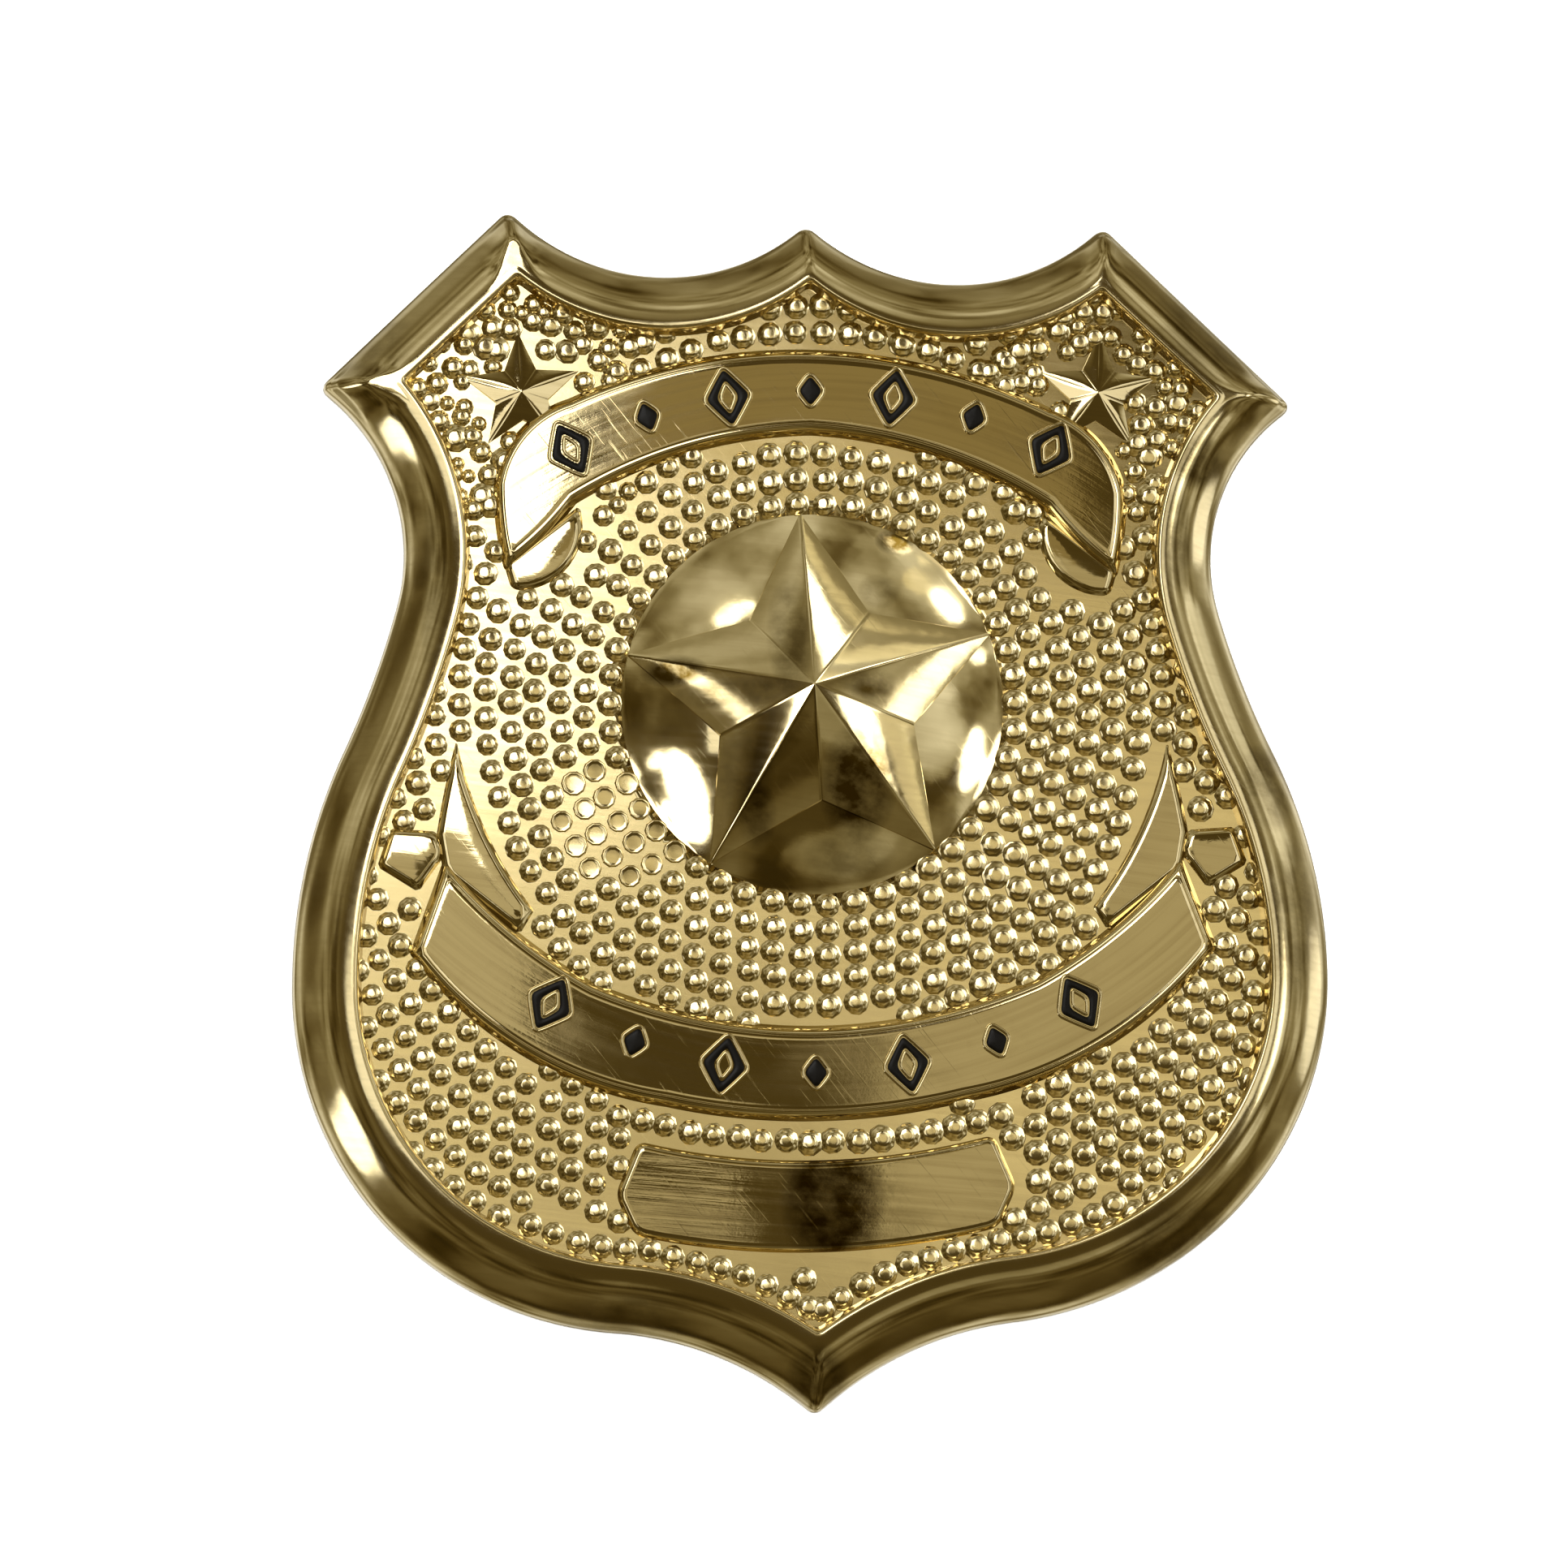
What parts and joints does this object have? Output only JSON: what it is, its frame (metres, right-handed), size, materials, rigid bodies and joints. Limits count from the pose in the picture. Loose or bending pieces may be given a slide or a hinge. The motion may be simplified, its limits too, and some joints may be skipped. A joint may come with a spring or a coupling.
{
  "type": "police badge",
  "caption": "Stamped shield badge with a raised rim, banners, a domed boss with a faceted star, enamel figures and a brooch pin behind.",
  "frame": {"origin": "centre of the badge's outline, on the plane of its back edge", "axes": "+X across the face, +Y towards the top of the badge, +Z out of the face; the badge lies face up"},
  "size_m": [0.0646, 0.0751, 0.0098],
  "materials": {
    "polished_brass": "polished gold-tone brass with brush marks and fine wear",
    "black_enamel": "hard gloss black enamel paint",
    "pin_metal": "satin brass, lightly tarnished"
  },
  "bodies": {
    "root": {"shield": "polished_brass", "upper_enamel": "black_enamel", "lower_enamel": "black_enamel", "brooch_pin": "pin_metal"}
  },
  "joints": []
}
